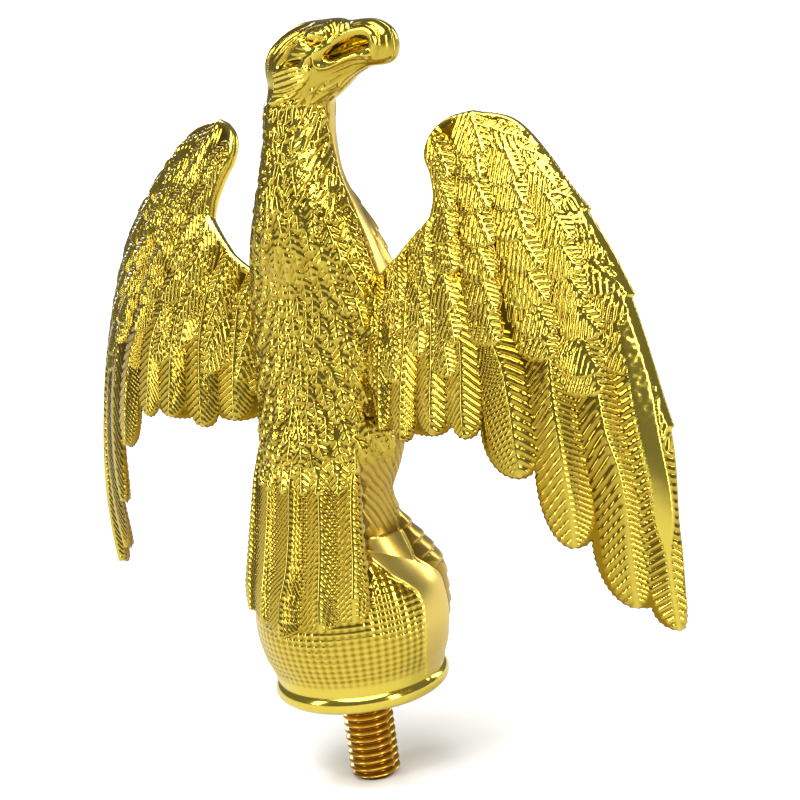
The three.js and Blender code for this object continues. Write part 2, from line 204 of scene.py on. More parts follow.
gold = gold_plating("bright_gold_plate", "#D6C050", "#806004", 0.13, 3.0, 0.2)

# The same plating where the mould is satin-blasted: soft, paler light on breast, legs and feet.
satin_gold = gold_plating("satin_gold_plate", "#D9BE62", "#8C6C18", 0.3, 2.0, 0.3)

# ---- Wings ----
# Each wing is one moulding of plated ABS, cupped forward, with a rolled front edge and a back edge
# of feather tips. A two-part mould leaves both faces in relief: long flight feathers under columns
# of coverts. Lines below are X and Z in millimetres on the left wing; the right wing mirrors it.
front_line = [(13, 101), (25.3, 109.9), (34.3, 119)]
wrist_line = [
    (34.3, 119), (34.4, 123), (32.6, 128), (30.4, 131.4), (30.1, 134.8), (31.4, 138), (34.8, 140.3),
    (40, 141.3),
]
outer_line = [(40, 141.3), (52, 137.8), (65.2, 125), (79, 104), (89.4, 69.5), (91.6, 42)]
feather_gaps = [
    (13, 76), (27.3, 71.5), (34.7, 71), (46.3, 73.8), (53.4, 72.7), (65.2, 62.8), (75, 45),
    (84.2, 26.8), (91.4, 26),
]
feather_tips = [
    (23, 69.6), (31, 68.3), (41, 70.6), (50, 70.2), (62.3, 60.7), (71.6, 43.2), (81.6, 26.9),
    (89.2, 20.6),
]
feather_heads = front_line[:2] + [
    (34.3, 119), (40, 141.3), (52, 137.8), (65.2, 125), (79, 104), (89.4, 69.5), (91.6, 42)]


def curve_through(points, steps=24):
    """A smooth curve through points."""
    p = np.array(points, float)
    p = np.vstack([2 * p[0] - p[1], p, 2 * p[-1] - p[-2]])
    t = np.linspace(0, 1, steps, endpoint=False)[:, None]
    spans = []
    for a, b, c, d in zip(p[:-3], p[1:-2], p[2:-1], p[3:]):
        bend, twist = 2 * a - 5 * b + 4 * c - d, 3 * b - a - 3 * c + d
        spans.append(0.5 * (2 * b + (c - a) * t + bend * t**2 + twist * t**3))
    return np.vstack(spans + [p[-2:-1]])


def evenly(line, spacing):
    """The same line with its points a set distance apart."""
    line = np.array(line, float)
    run = np.concatenate([[0], np.cumsum(np.linalg.norm(np.diff(line, axis=0), axis=1))])
    at = np.linspace(0, run[-1], max(2, int(round(run[-1] / spacing)) + 1))
    return np.stack([np.interp(at, run, line[:, k]) for k in range(line.shape[1])], 1)


def smooth(low, high, value):
    """An S-curve from 0 at low to 1 at high."""
    t = np.clip((value - low) / (high - low), 0, 1)
    return t * t * (3 - 2 * t)


def feather_end(i):
    """The rounded back edge of one flight feather, from its outer gap to its inner gap."""
    tip = np.array(feather_tips[i], float)
    root = (np.array(feather_heads[i], float) + np.array(feather_heads[i + 1], float)) / 2
    along = (tip - root) / np.linalg.norm(tip - root)
    angle = np.linspace(0, np.pi / 2, 24)[:, None]
    halves = []
    for gap in (feather_gaps[i], feather_gaps[i + 1]):
        gap = np.array(gap, float)
        step = tip - gap
        down = along * (step @ along)
        halves.append(gap + down * np.sin(angle) + (step - down) * (1 - np.cos(angle)))
    return np.vstack([halves[1], halves[0][::-1][1:]])


def wing_face(x, z):
    """How far back the wing's outer face lies: it cups forward towards its top and its tip."""
    across = x / 50
    up = (z - 80) / 50
    curl = np.maximum(0, x - 72) / 20
    bowl = 47 * across - 28.6 * across**2 - 7.6 * up - 12.1 * up**2 - 4.9 * across * up
    rise_at_wrist = 4 * np.exp(-((x - 30) ** 2 + (z - 136) ** 2) / 128)
    return -8.9 + bowl - (2.6 + 7.6 * up) * curl**2 + rise_at_wrist


def normal_of(surface, x, z, step=0.4):
    """The direction straight out of a surface that gives its depth at x and z."""
    slope_x = (surface(x + step, z) - surface(x - step, z)) / (2 * step)
    slope_z = (surface(x, z + step) - surface(x, z - step)) / (2 * step)
    n = np.stack([-slope_x, np.ones_like(slope_x), -slope_z], 1)
    return n / np.linalg.norm(n, axis=1)[:, None]


def barb_rows(along, across, pitch, sweep):
    """Rounded barbs that leave the quill towards the tip, from 0 in their grooves to 1. Broad barbs
    have a finer groove of their own."""
    phase = (along - across * sweep) / pitch
    place = phase - np.floor(phase)
    split = 0.4 * smooth(2.2, 2.4, pitch) * np.exp(-(((place - 0.58) / 0.07) ** 2))
    return 1 - np.abs(2 * place - 1) ** 2.5 - split


def lay_feather(
        height, grid, quill, reach, vanes, rise=0.8, crown=0.45, barb=0.32, base=0.0,
        quill_width=0.35, quill_height=0.25, blunt=0.72, smooth_quill=None):
    """Raises the relief where one feather lies. vanes gives half width, barb pitch and sweep of the
    vane on the quill's left and right; reach is where a vane starts to round off to the tip, and
    smooth_quill is the width of a plain band that covers the quill."""
    quill = np.array(quill, float)
    widest = max(vanes[0][0], vanes[1][0]) + 1
    low = quill.min(0) - widest
    high = quill.max(0) + widest
    near = np.flatnonzero(((grid > low) & (grid < high)).all(1))
    if not len(near):
        return
    p = grid[near]
    span = np.diff(quill, axis=0)
    length = np.linalg.norm(span, axis=1)
    start = np.concatenate([[0], np.cumsum(length)])
    total = start[-1]
    best = np.full(len(p), 1e9)
    along = np.zeros(len(p))
    across = np.zeros(len(p))
    for a, d, l, s in zip(quill[:-1], span, length, start):
        rel = p - a
        t = np.clip(rel @ d / l**2, 0, 1)
        off = rel - t[:, None] * d
        dist = np.linalg.norm(off, axis=1)
        hit = dist < best
        best[hit] = dist[hit]
        along[hit] = (s + t * l)[hit]
        across[hit] = (np.sign(rel[:, 0] * d[1] - rel[:, 1] * d[0]) * dist)[hit]
    q = along / total
    left = across < 0
    half = np.where(left, vanes[0][0], vanes[1][0])
    pitch = np.where(left, vanes[0][1], vanes[1][1])
    sweep = np.where(left, vanes[0][2], vanes[1][2])
    far = np.abs(across)
    rows = barb_rows(along, far, pitch, sweep)
    taper = np.sqrt(np.clip(1 - (np.clip(q - reach, 0, 1) / (1 - reach)) ** 2, 0, 1))
    taper *= 0.7 + 0.3 * smooth(0, 0.35, q)
    half = half * taper * (0.93 + 0.07 * rows)
    edge = far / np.maximum(half, 1e-3)
    shoulder = 1 - smooth(blunt, 1.0, edge)
    h = base + rise * q + crown * (1 - edge**2)
    h += barb * (rows - 1) * smooth(quill_width, quill_width + 0.7, far)
    h += quill_height * (1 - smooth(quill_width * 0.5, quill_width + 0.25, far))
    if smooth_quill is not None:
        stripe = smooth_quill * (1 - smooth(0.62, 0.8, q)) * smooth(0.02, 0.08, q)
        flat = 1 - smooth(stripe, stripe + 0.35, far)
        h = h * (1 - flat) + flat * (base + rise * q + crown + 0.5)
    h = np.where(edge < 1, h * shoulder + (base - 0.2) * (1 - shoulder), -9)
    height[near] = np.maximum(height[near], h)


# Each flight feather: its quill, then half width, barb pitch and barb sweep of each vane.
flight_feathers = [
    ([(15.5, 98), (15.6, 88), (16, 75.5)], (4.2, 1.5, 1.3), (4.0, 1.6, 0.8)),
    ([(22.5, 99), (22.8, 85), (23, 70.1)], (4.4, 1.5, 1.3), (4.2, 1.6, 0.8)),
    ([(31.1, 103), (32.1, 90.7), (31.8, 81.7), (31.3, 68.8)], (4.8, 1.55, 1.4), (4.6, 1.7, 0.8)),
    ([(38.5, 106), (40.7, 90), (41, 79), (41.2, 71)], (4.8, 1.55, 1.4), (4.6, 1.7, 0.8)),
    ([(45, 103), (48.4, 90.2), (49.3, 79), (49.9, 70.7)], (4.8, 1.55, 1.5), (4.8, 1.7, 0.8)),
    ([(52.5, 100), (54.9, 93.5), (58.3, 86.1), (60.4, 77.3), (61.7, 66.9), (62.3, 61.2)],
     (6.2, 1.6, 1.9), (4.6, 2.3, 0.9)),
    ([(64, 99), (67.2, 90.1), (68.9, 78), (70.1, 70.6), (71.2, 60.3), (71.9, 50), (71.7, 43.8)],
     (5.6, 2.4, 1.15), (4.6, 1.35, 0.85)),
    ([(72.5, 96), (76.5, 80.8), (78.6, 69.3), (80.6, 61.5), (81.6, 53.8), (81.9, 43.4),
      (81.6, 27.5)], (5.6, 2.4, 1.15), (4.2, 1.35, 0.85)),
]
outermost_feather = (
    [(80, 97), (83.2, 83.7), (85.8, 68.4), (88.0, 54.8), (88.8, 42.2), (89.1, 30), (89.2, 21.2)],
    (4.6, 1.9, 0.6), (4.4, 1.9, 0.9))

# Each column of coverts: the line they follow from the leading edge down, and their half width.
covert_columns = [
    ([(19, 106), (20, 96), (20.5, 82)], 3.6),
    ([(26.5, 111), (28, 101), (28.5, 85)], 4.0),
    ([(32.5, 124), (33.5, 116), (36, 104), (36.5, 88)], 4.2),
    ([(33.8, 137), (36.5, 127), (40, 115), (44, 103), (45, 86)], 4.6),
    ([(41.5, 139.5), (44.5, 129), (49, 117), (53, 105), (55.6, 92)], 4.8),
    ([(50, 136), (54.5, 124), (59.5, 113), (64, 101), (66.5, 88)], 4.9),
    ([(58.5, 130.5), (64, 119.5), (70, 106), (74, 93), (75.5, 80)], 4.8),
    ([(67, 122.5), (74, 109), (79.5, 95.5), (83, 84)], 4.4),
    ([(75.5, 108), (81.5, 95), (86, 80), (88.8, 66)], 3.6),
    ([(45, 139), (56, 131.5), (66, 121.5), (75, 109.5), (81, 98), (86, 84), (89.6, 68)], 3.2),
]
COVERT_STEP = 7.4
COVERT_LENGTH = 12.6
COVERT_LEAN = 15
COLUMN_STEP = 0.5
EDGE_STEP = 0.3
BARB_ENDS = 1.6
draw = np.random.default_rng(7)

outline = np.vstack([
    evenly(front_line, EDGE_STEP)[:-1],
    evenly(curve_through(wrist_line), EDGE_STEP)[:-1],
    evenly(curve_through(outer_line), EDGE_STEP),
])
# Three feathers step out of the leading edge.
STEP_OUT = 0.65
STEP_FADES_OVER = 5
for step_z in (117.4, 98, 68):
    along_edge = (outline[:, 1] - step_z) * (outline[:, 0] > 60)
    bulge = STEP_OUT * np.exp(-along_edge / STEP_FADES_OVER) * (along_edge > 0)
    outline = outline + bulge[:, None] * np.array([0.8, 0.6])
leading_edge = outline.copy()

# The back edge is scalloped by the ends of the barbs.
back_edge = np.vstack([feather_end(i)[:-1] for i in range(7, -1, -1)] + [np.array([[13, 76]])])
back_edge = evenly(back_edge, EDGE_STEP)
heading = np.gradient(back_edge, axis=0)
heading /= np.linalg.norm(heading, axis=1)[:, None]
scallop = np.abs(np.sin(np.arange(len(back_edge)) * EDGE_STEP * np.pi / BARB_ENDS)) - 0.5
outward = np.stack([heading[:, 1], -heading[:, 0]], 1)
back_edge[1:-1] += (0.3 * scallop[:, None] * outward)[1:-1]
outline = np.vstack([outline, back_edge, evenly([(13, 76), (13, 101)], 2 * EDGE_STEP)[1:-1]])


def inside_outline(points, loop):
    """Which points lie inside a closed loop, by counting the edges to their right."""
    inside = np.zeros(len(points), bool)
    ahead = np.roll(loop, -1, axis=0)
    for (xa, za), (xb, zb) in zip(loop, ahead):
        if za == zb:
            continue
        row = (points[:, 1] >= min(za, zb)) & (points[:, 1] < max(za, zb))
        cross = xa + (points[row, 1] - za) * (xb - xa) / (zb - za)
        inside[row] ^= points[row, 0] < cross
    return inside


def lattice(low, high, spacing):
    """Points of a triangular lattice over a rectangle."""
    rows = []
    for k, z in enumerate(np.arange(low[1], high[1], spacing * math.sqrt(3) / 2)):
        row = np.arange(low[0] + (k % 2) * spacing / 2, high[0], spacing)
        rows.append(np.stack([row, np.full(len(row), z)], 1))
    return np.vstack(rows)


def distance_to(points, line):
    """How far each point is from the nearest point of a line."""
    tree = kdtree.KDTree(len(line))
    for i, (x, z) in enumerate(line):
        tree.insert((x, z, 0), i)
    tree.balance()
    return np.array([tree.find((x, z, 0))[2] for x, z in points])


def net_over(points, loop, margin):
    """Triangles over a loop and the points that lie more than a margin inside it. The loop's own
    points come first."""
    points = points[inside_outline(points, loop)]
    points = points[distance_to(points, loop) > margin]
    count = len(loop)
    everything = [Vector(p) for p in np.vstack([loop, points])]
    edges = [(i, (i + 1) % count) for i in range(count)]
    made = geometry.delaunay_2d_cdt(everything, edges, [], 1, 1e-6)
    triangles = [tuple(f) for f in made[2] if len(f) == 3]
    return np.array([tuple(v) for v in made[0]]), np.array(triangles)


def new_piece(name, points, faces, recess_shade=None):
    """A smooth-shaded mesh from points in millimetres."""
    mesh = bpy.data.meshes.new(name)
    mesh.vertices.add(len(points))
    mesh.vertices.foreach_set("co", (np.asarray(points) * MM).astype(np.float32).ravel())
    flat = np.concatenate([np.asarray(f).ravel() for f in faces])
    sizes = np.concatenate([np.full(len(f), np.asarray(f).shape[1]) for f in faces])
    mesh.loops.add(len(flat))
    mesh.loops.foreach_set("vertex_index", flat.astype(np.int32))
    mesh.polygons.add(len(sizes))
    starts = np.concatenate([[0], np.cumsum(sizes)[:-1]])
    mesh.polygons.foreach_set("loop_start", starts.astype(np.int32))
    mesh.polygons.foreach_set("use_smooth", np.ones(len(sizes), bool))
    mesh.update(calc_edges=True)
    if recess_shade is not None:
        dip = mesh.attributes.new("recess_shade", "FLOAT", "POINT")
        dip.data.foreach_set("value", recess_shade.astype(np.float32))
    piece = bpy.data.objects.new(name, mesh)
    bpy.context.scene.collection.objects.link(piece)
    return piece


QUILL_STEP = 1.2
ROUGHNESS_SIZE = 1.1
long_feather = dict(rise=0.5, crown=0.55, barb=0.75, blunt=0.92, quill_width=0.2, quill_height=0.15)
covert = dict(
    rise=0.75, crown=0.25, barb=0.8, base=0.3, blunt=0.85, quill_width=0.12, quill_height=0.05)


def wing_relief(grid, back):
    """Height of the feathers over the plate, on its back or on its front."""
    height = np.zeros(len(grid))
    for quill, inner, outer in flight_feathers:
        quill = evenly(curve_through(quill), QUILL_STEP)
        lay_feather(height, grid, quill, 0.82, (outer, inner), **long_feather)
    quill, inner, outer = outermost_feather
    quill = evenly(curve_through(quill), QUILL_STEP)
    band = 1.6 if back else None
    lay_feather(
        height, grid, quill, 0.86, (outer, inner), base=0.1, smooth_quill=band, **long_feather)
    for k, (column, half) in enumerate(covert_columns):
        line = evenly(curve_through(column), COLUMN_STEP)
        run = COLUMN_STEP * len(line)
        lap = COVERT_LENGTH * 0.45
        for s in np.arange((k % 2) * COVERT_STEP / 2 - lap, run - lap, COVERT_STEP):
            i = int(np.clip(s / COLUMN_STEP, 0, len(line) - 2))
            j = int(np.clip((s + COVERT_LENGTH) / COLUMN_STEP, 0, len(line) - 1))
            a, b = line[i], line[j]
            d = (b - a) / max(np.linalg.norm(b - a), 1e-6)
            lean = math.radians(COVERT_LEAN + draw.uniform(-7, 7))
            cos, sin = math.cos(lean), math.sin(lean)
            d = np.array([d[0] * cos - d[1] * sin, d[0] * sin + d[1] * cos])
            middle = (a + b) / 2 + draw.uniform(-0.5, 0.5, 2)
            size = COVERT_LENGTH * draw.uniform(0.92, 1.1) / 2
            bend = np.array([-d[1], d[0]]) * draw.uniform(-0.6, 0.6)
            quill = [middle - d * size, middle + bend, middle + d * size]
            w = half * draw.uniform(0.95, 1.1)
            narrow = (w * 0.55, draw.uniform(1.2, 1.8), draw.uniform(0.5, 1.3))
            broad = (w * 1.25, draw.uniform(1.8, 2.05), draw.uniform(1.3, 1.6))
            lay_feather(height, grid, quill, 0.55, (narrow, broad), **covert)
    spots = grid / ROUGHNESS_SIZE
    rough = np.array([noise.noise(Vector((px, pz, 0))) for px, pz in spots])
    return height + 0.1 * rough * (height > 0.3) * smooth(66, 76, grid[:, 1])


# The net is finer over the coverts than over the long feathers. A coarse net closes each half
# wing along the middle of the plate.
HALF_PLATE = 1.1
fine = lattice((12, 82), (95, 143), 0.27)
coarse = lattice((12, 18), (95, 82), 0.33)
plan, faces = net_over(np.vstack([fine, coarse]), outline, 0.16)
under, under_faces = net_over(lattice((12, 18), (95, 143), 2.2), outline, 1.0)
rim = len(outline)


def wing_pieces(side, name):
    """The back and front of one wing, from the relief in wing_faces."""
    for facing in (1, -1):
        off, recess_shade = wing_faces[facing]
        x, z = plan[:, 0], plan[:, 1]
        n = normal_of(wing_face, x, z)
        middle = np.stack([x, wing_face(x, z), z], 1) - n * HALF_PLATE
        face = middle + facing * n * off[:, None]
        ux, uz = under[rim:, 0], under[rim:, 1]
        inner = np.stack([ux, wing_face(ux, uz), uz], 1)
        inner = inner - normal_of(wing_face, ux, uz) * (HALF_PLATE - 0.04 * facing)
        points = np.vstack([face, inner])
        shifted = np.where(under_faces < rim, under_faces, under_faces + len(plan) - rim)
        turn = faces if facing > 0 else faces[:, ::-1]
        back = shifted[:, ::-1] if facing > 0 else shifted
        if side < 0:
            points = points * np.array([-1, 1, 1])
            turn, back = turn[:, ::-1], back[:, ::-1]
        dip = np.concatenate([recess_shade, np.zeros(len(inner))])
        piece = new_piece(name + ("_back" if facing > 0 else "_front"), points, [turn, back], dip)
        piece.data.materials.append(gold)
        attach(piece, "root")
        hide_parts(name)


# The relief fades out towards the smooth leading edge, which is rolled over to the front. The plate
# also thickens to the front at the root, where the wing plugs into the body.
wing_faces = {}
lead_distance = distance_to(plan, leading_edge)
border = smooth(0.5, 2.0, lead_distance + 1.6 * smooth(75, 45, plan[:, 1]))
from_edge = np.concatenate([np.zeros(rim), distance_to(plan[rim:], outline)])
for facing in (1, -1):
    height = wing_relief(plan, facing > 0)
    relief = (height - 0.75) * border
    lead = np.exp(-(lead_distance / 1.5) ** 2)
    if facing > 0:
        thickness = np.full(len(plan), HALF_PLATE)
    else:
        roll = (0.6 + 1.6 * smooth(60, 130, plan[:, 1])) * np.clip(1 - lead_distance / 11, 0, 1)
        root = 4.5 * np.exp(-((plan[:, 0] - 20) / 8) ** 2 - ((plan[:, 1] - 89) / 12) ** 2)
        thickness = HALF_PLATE + roll + root
    rounding = np.clip(from_edge / (0.9 + 0.9 * lead), 0, 1)
    off = np.sqrt(1 - (1 - rounding) ** 2) * (thickness + relief)
    # The grooves between feathers and barbs take the darker hollow colour: painted shade.
    recess_shade = np.clip(1 - (height + 0.1) / 1.5, 0, 1) * border
    wing_faces[facing] = (off, recess_shade)
wing_pieces(1, "left_wing")
wing_pieces(-1, "right_wing")

# ---- Body, neck, head and legs ----
# The body is one hollow figure of plated ABS in two halves, glued along a plane that leans forward
# as it rises. The back half is covered in small feathers; the front is smoother and satin, with
# drapery lines on the thighs. It starts as ovals, one above another, joined into one skin.
PARTING_LEAN = 0.036
BODY_VOXEL = 0.395
SKIN_PASSES = 8

# Each oval of the torso: height, middle, half width, and reach to the front and to the rear.
torso_ovals = [
    (34, 3, 11, 7, 14), (46, 3.5, 10, 6, 13), (55, 3, 14.8, 8, 13), (64, 1, 17.8, 12, 14.5),
    (74, -1, 18.8, 15.5, 13.5), (84, -2, 19.6, 18, 12.5), (94, -3, 19.6, 19, 12),
    (104, -3.5, 18.6, 19, 11.5), (113, -3.5, 16.2, 16, 12.5), (121, -3, 13.4, 12.5, 11.5),
    (129, -3.2, 10.4, 9.6, 10), (138, -4.8, 8.8, 8.4, 9), (147, -6.5, 8.6, 8, 8.2),
    (154, -6.5, 6.5, 6, 6),
]
# Each oval of a leg: the same, with its distance sideways after the height.
leg_ovals = [
    (84, 6, -4, 5, 6, 5), (74, 9.4, -4.6, 8.2, 9, 8), (66, 10.8, -3.5, 8.2, 9.3, 8),
    (58, 10.5, -1.8, 7.2, 8, 8), (52, 10, -0.5, 6, 6, 9), (47, 10.2, -1.5, 5.8, 5.6, 9.6),
    (42, 10.6, -3.2, 7, 7.2, 11), (37, 11.4, -4.8, 8.6, 9.2, 12.5), (31, 12.2, -6.6, 9.9, 10.8, 13),
    (25, 12.4, -7.2, 10.2, 10.4, 10), (18, 12.4, -7.2, 10, 10.2, 10),
    (11, 11.6, -6.6, 9.2, 9.4, 9.5), (5.5, 10, -6, 8.2, 8.6, 9),
]
# Each oval of the head: its place from the nape to the beak, lowest, highest and half width.
head_ovals = [
    (6.2, 151, 157, 3), (4.5, 147, 160.5, 5.6), (0, 144, 163.2, 7.4), (-5, 144, 165, 8),
    (-11, 147, 165.4, 7.4), (-15, 149.5, 165.5, 6.4), (-18, 151.6, 164.8, 5.2),
    (-23, 153.8, 165, 4.4), (-26.5, 154, 164.6, 4.1), (-29.5, 154.6, 163, 3.3),
    (-30.8, 156.2, 161.4, 2.0),
]
HEAD_MIDDLE_Y = -6


def loft(name, rings, recess_shade=None):
    """A closed tube through rings of points, with flat ends."""
    rings = np.array(rings)
    rows, around = rings.shape[:2]
    i = np.arange(rows - 1)[:, None] * around
    j = np.arange(around)[None, :]
    nxt = (j + 1) % around
    walls = np.stack([i + j, i + nxt, i + around + nxt, i + around + j], -1).reshape(-1, 4)
    last = (rows - 1) * around
    ends = np.array([np.arange(around)[::-1], last + np.arange(around)])
    return new_piece(name, rings.reshape(-1, 3), [walls, ends], recess_shade)


def oval_ring(x, y, z, width, front, rear, around=56):
    """A level ring that reaches further to the front or to the rear."""
    a = np.linspace(0, 2 * np.pi, around, endpoint=False)
    depth = np.where(np.sin(a) > 0, rear, front)
    return np.stack([x + width * np.cos(a), y + depth * np.sin(a), np.full(around, z)], 1)


torso = curve_through(torso_ovals, 6)
forms = [loft("torso", [oval_ring(0, y, z, w, f, r) for z, y, w, f, r in torso])]
TOE_RINGS = 20
TOE_RADIUS = 2.9
TOE_PATH = 20.7
BALL_MIDDLE = 19.5
for hand in (1, -1):
    leg = curve_through(leg_ovals, 5)
    rings = [oval_ring(hand * x, y, z, w, f, r, 40) for z, x, y, w, f, r in leg]
    forms.append(loft("leg", rings))
    for bearing in (6, 26, 46):
        heading = math.radians(bearing)
        toe_rings = []
        for k, pitch in enumerate(np.linspace(62, -14, TOE_RINGS)):
            climb = math.radians(pitch)
            spread = heading * (1 - 0.35 * max(0, climb))
            flat = math.cos(climb)
            out = np.array([
                hand * math.sin(spread) * flat, -math.cos(spread) * flat, math.sin(climb)])
            across = np.array([hand * math.cos(heading), math.sin(heading), 0])
            knuckle = 0.22 * math.cos(k * 1.5)
            blunt = math.sqrt(max(0.04, min(1, (TOE_RINGS - k) / 5)))
            size = (TOE_RADIUS + knuckle) * (1 - 0.018 * k) * blunt
            turn = np.linspace(0, 2 * np.pi, 20, endpoint=False)[:, None]
            middle = np.array([0, 0, BALL_MIDDLE]) + out * (TOE_PATH + 0.4 * knuckle)
            toe_rings.append(middle + across * size * np.cos(turn) + out * size * np.sin(turn))
        forms.append(loft("toe", toe_rings))
head_rings = []
for x, low, high, width in curve_through(head_ovals, 8):
    a = np.linspace(0, 2 * np.pi, 56, endpoint=False)
    squared = np.sign(np.cos(a)) * np.abs(np.cos(a)) ** 0.85
    level = (low + high) / 2 + (high - low) / 2 * np.sin(a)
    head_rings.append(np.stack([np.full(56, x), HEAD_MIDDLE_Y + width * squared, level], 1))
forms.append(loft("head", head_rings))

bpy.ops.object.select_all(action="DESELECT")
for form in forms:
    form.select_set(True)
bpy.context.view_layer.objects.active = forms[0]
bpy.ops.object.join()
figure = bpy.context.object
remesh = figure.modifiers.new("one_skin", "REMESH")
remesh.mode = "VOXEL"
remesh.voxel_size = BODY_VOXEL * MM
bpy.ops.object.modifier_apply(modifier=remesh.name)
skin = figure.data
points = np.zeros(len(skin.vertices) * 3)
skin.vertices.foreach_get("co", points)
points = points.reshape(-1, 3) / MM
ties = np.zeros(len(skin.edges) * 2, np.int32)
skin.edges.foreach_get("vertices", ties)
ties = ties.reshape(-1, 2)
degree = np.bincount(ties.ravel(), minlength=len(points))[:, None]
for _ in range(SKIN_PASSES):
    total = np.stack([
        np.bincount(ties[:, 0], points[ties[:, 1], k], len(points))
        + np.bincount(ties[:, 1], points[ties[:, 0], k], len(points))
        for k in range(3)
    ], 1)
    points = 0.35 * points + 0.65 * total / degree
skin.vertices.foreach_set("co", (points * MM).astype(np.float32).ravel())
skin.update()
normals = np.zeros(len(points) * 3)
skin.vertex_normals.foreach_get("vector", normals)
normals = normals.reshape(-1, 3)

# Feathers are laid out on the skin unrolled round the spine: millimetres round it, and height.
spine_heights = [30, 57, 70, 84, 104, 121, 129, 138, 150]
spine_depth = [2, 2, 0, -2, -3.5, -3, -3.2, -4.8, -6.5]
girth_radius = [15, 15, 16.5, 17, 16, 13, 10.4, 9, 8.5]
x, y, z = points.T
depth_of_spine = np.interp(z, spine_heights, spine_depth)
girth = np.interp(z, spine_heights, girth_radius)
behind = y + PARTING_LEAN * z
back_round = np.stack([girth * np.arctan2(x, y - depth_of_spine), z], 1)
front_round = np.stack([girth * np.arctan2(x, depth_of_spine - y), z], 1)


def scatter_feathers(on, rows, reach, step_across, length, half, lean_at, vanes, stray=13, **shape):
    """Rows of small feathers in staggered places over a round body, each with a little disorder."""
    made = np.zeros(len(on))
    for k, level in enumerate(rows):
        for across in np.arange(-reach + (k % 2) * step_across / 2, reach, step_across):
            u = across + draw.uniform(-0.5, 0.5) * 0.3 * step_across
            w = level + draw.uniform(-0.7, 0.7)
            lean = math.radians(lean_at(u) + draw.uniform(-stray, stray))
            size = length * draw.uniform(0.85, 1.15) / 2
            d = np.array([math.sin(lean), -math.cos(lean)])
            bend = np.array([d[1], -d[0]]) * draw.uniform(-0.5, 0.5)
            middle = np.array([u, w])
            fat = half * draw.uniform(0.85, 1.15)
            quill = [middle - d * size, middle + bend, middle + d * size]
            both = tuple((fat, pitch, sweep) for pitch, sweep in vanes)
            lay_feather(made, on, quill, 0.5, both, **shape)
    return made


# Broad feathers over the back and rump, narrow hackles round the neck, soft ones on the breast.
rump = scatter_feathers(
    back_round, np.arange(126, 52, -4.2), 27, 4.5, 8.6, 2.8,
    lambda u: np.clip(u, -16, 16) * 0.9, ((1.85, 1.1), (1.85, 1.0)),
    rise=0.65, crown=0.25, barb=0.8, base=0.1, quill_width=0.15, quill_height=0.12)
hackles = scatter_feathers(
    back_round, np.arange(153, 113, -2.5), 20, 2.0, 4.8, 1.0,
    lambda u: np.clip(-u * 3.2, -34, 34), ((9.0, 0.0), (9.0, 0.0)), stray=24,
    rise=0.6, crown=0.55, barb=0.0, quill_width=0.1, quill_height=0.0)
breast = scatter_feathers(
    front_round, np.arange(140, 56, -5.2), 16, 5.4, 10.5, 3.5,
    lambda u: np.clip(u, -16, 16) * 0.7, ((1.1, 1.2), (1.1, 1.2)),
    rise=0.7, crown=0.4, barb=0.26, quill_width=0.15, quill_height=0.12)
neck_share = smooth(118, 127, z)
rear_share = smooth(-0.6, 0.6, behind)
height = (rump * (1 - neck_share) + hackles * neck_share) * rear_share
front_share = (1 - rear_share) * smooth(4.5, 9.0, -behind) * smooth(58, 64, z)
height += breast * front_share

# Drapery lines run down and back over each thigh, then straight down to the ankle.
DRAPE_PITCH = 1.7
LEG_X, LEG_Y = 10, -1.5
below_waist = 1 - smooth(58, 66, z - 0.35 * np.clip(-behind, 0, 20))
leg_share = below_waist * (1 - smooth(8, 11, y)) * smooth(42, 47, z) * smooth(3, 6, np.abs(x))
round_leg = 7 * np.arctan2(np.abs(x) - LEG_X, LEG_Y - y)
strand = (round_leg - 0.5 * z) / DRAPE_PITCH + 0.25 * np.sin(z * 0.3)
drape = 1 - np.abs(2 * (strand - np.floor(strand)) - 1) ** 3
height = height * (1 - leg_share) + 0.5 * drape * leg_share

# Scutes step down the front of each foot and toe.
SCUTE_DEGREES = 8.5
foot_share = (1 - smooth(50, 54, z)) * smooth(0.5, 3, -behind)
scute = np.degrees(np.arctan2(z - BALL_MIDDLE, np.hypot(x, y))) / SCUTE_DEGREES
step = scute - np.floor(scute)
ridge = smooth(0.0, 0.12, step) * (1 - 0.55 * smooth(0.2, 1.0, step))
out_of_ball = smooth(21.4, 23.2, np.sqrt(x**2 + y**2 + (z - BALL_MIDDLE) ** 2))
facing_up = smooth(-0.35, 0.1, normals[:, 2] - 0.9 * normals[:, 1] - 0.5)
height = height * (1 - foot_share) + 0.7 * ridge * foot_share * (out_of_ball * facing_up)

# The head faces to the side. Its relief is the same on both cheeks: a hooked beak with an open
# mouth, a deep-set eye under a brow, wrinkled skin above the beak, and a tuft of cheek feathers.
cheek = np.stack([x, z], 1)
on_head = (z > 141) & (np.abs(y - HEAD_MIDDLE_Y) > 0.6)
face = np.zeros(len(points))


def carve(width, rise_by, *lines, fade=True):
    """Raises (or sinks) lines over the cheek, each thinning towards both ends."""
    for line in lines:
        line = evenly(curve_through(line, 8), 0.25)
        low, high = line.min(0) - 3 * width, line.max(0) + 3 * width
        near = np.flatnonzero(((cheek > low) & (cheek < high)).all(1) & on_head)
        best = np.full(len(near), 1e9)
        at = np.zeros(len(near))
        for i, p in enumerate(line):
            dist = np.linalg.norm(cheek[near] - p, axis=1)
            hit = dist < best
            best[hit] = dist[hit]
            at[hit] = i / (len(line) - 1)
        thin = np.sin(np.pi * np.clip(at * 0.9 + 0.05, 0, 1)) ** 0.5 if fade else 1
        face[near] += rise_by * thin * np.exp(-((best / width) ** 2))


